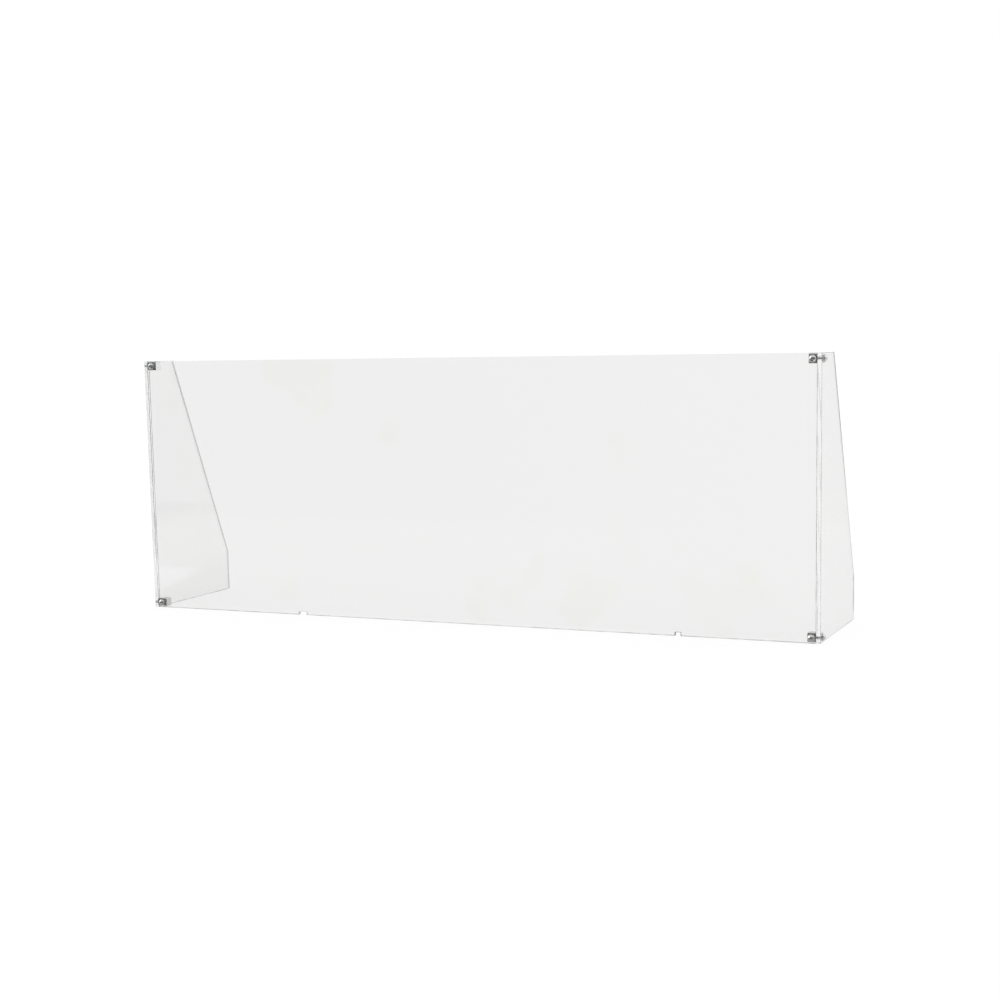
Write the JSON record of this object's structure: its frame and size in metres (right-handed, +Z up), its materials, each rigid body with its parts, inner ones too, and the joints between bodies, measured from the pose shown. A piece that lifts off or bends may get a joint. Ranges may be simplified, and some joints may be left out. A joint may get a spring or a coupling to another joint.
{
  "type": "countertop sneeze guard",
  "caption": "Free-standing clear sneeze guard: an upright front sheet between two wings with raked backs, held square by metal corner blocks and domed screws.",
  "frame": {"origin": "on the counter, under the middle of the whole guard, screw heads included", "axes": "+X along the front sheet, to the right as a customer sees it; +Y from the customer towards the server; +Z up"},
  "size_m": [1.06, 0.2066, 0.381],
  "materials": {
    "clear_acrylic": "clear cast acrylic, polished faces and edges",
    "chromed_block": "bright chrome plate",
    "polished_screw": "polished",
    "clear_washer": "translucent nylon"
  },
  "bodies": {
    "root": {"front_panel": "clear_acrylic", "left_wing": "clear_acrylic", "right_wing": "clear_acrylic", "block_top_left": "chromed_block", "block_top_right": "chromed_block", "block_bottom_left": "chromed_block", "block_bottom_right": "chromed_block", "front_screw_top_left": "polished_screw", "front_screw_top_right": "polished_screw", "front_screw_bottom_left": "polished_screw", "front_screw_bottom_right": "polished_screw", "wing_screw_top_left": "polished_screw", "wing_screw_top_right": "polished_screw", "wing_screw_bottom_left": "polished_screw", "wing_screw_bottom_right": "polished_screw", "front_washer_top_left": "clear_washer", "front_washer_top_right": "clear_washer", "front_washer_bottom_left": "clear_washer", "front_washer_bottom_right": "clear_washer", "wing_washer_top_left": "clear_washer", "wing_washer_top_right": "clear_washer", "wing_washer_bottom_left": "clear_washer", "wing_washer_bottom_right": "clear_washer"}
  },
  "joints": []
}
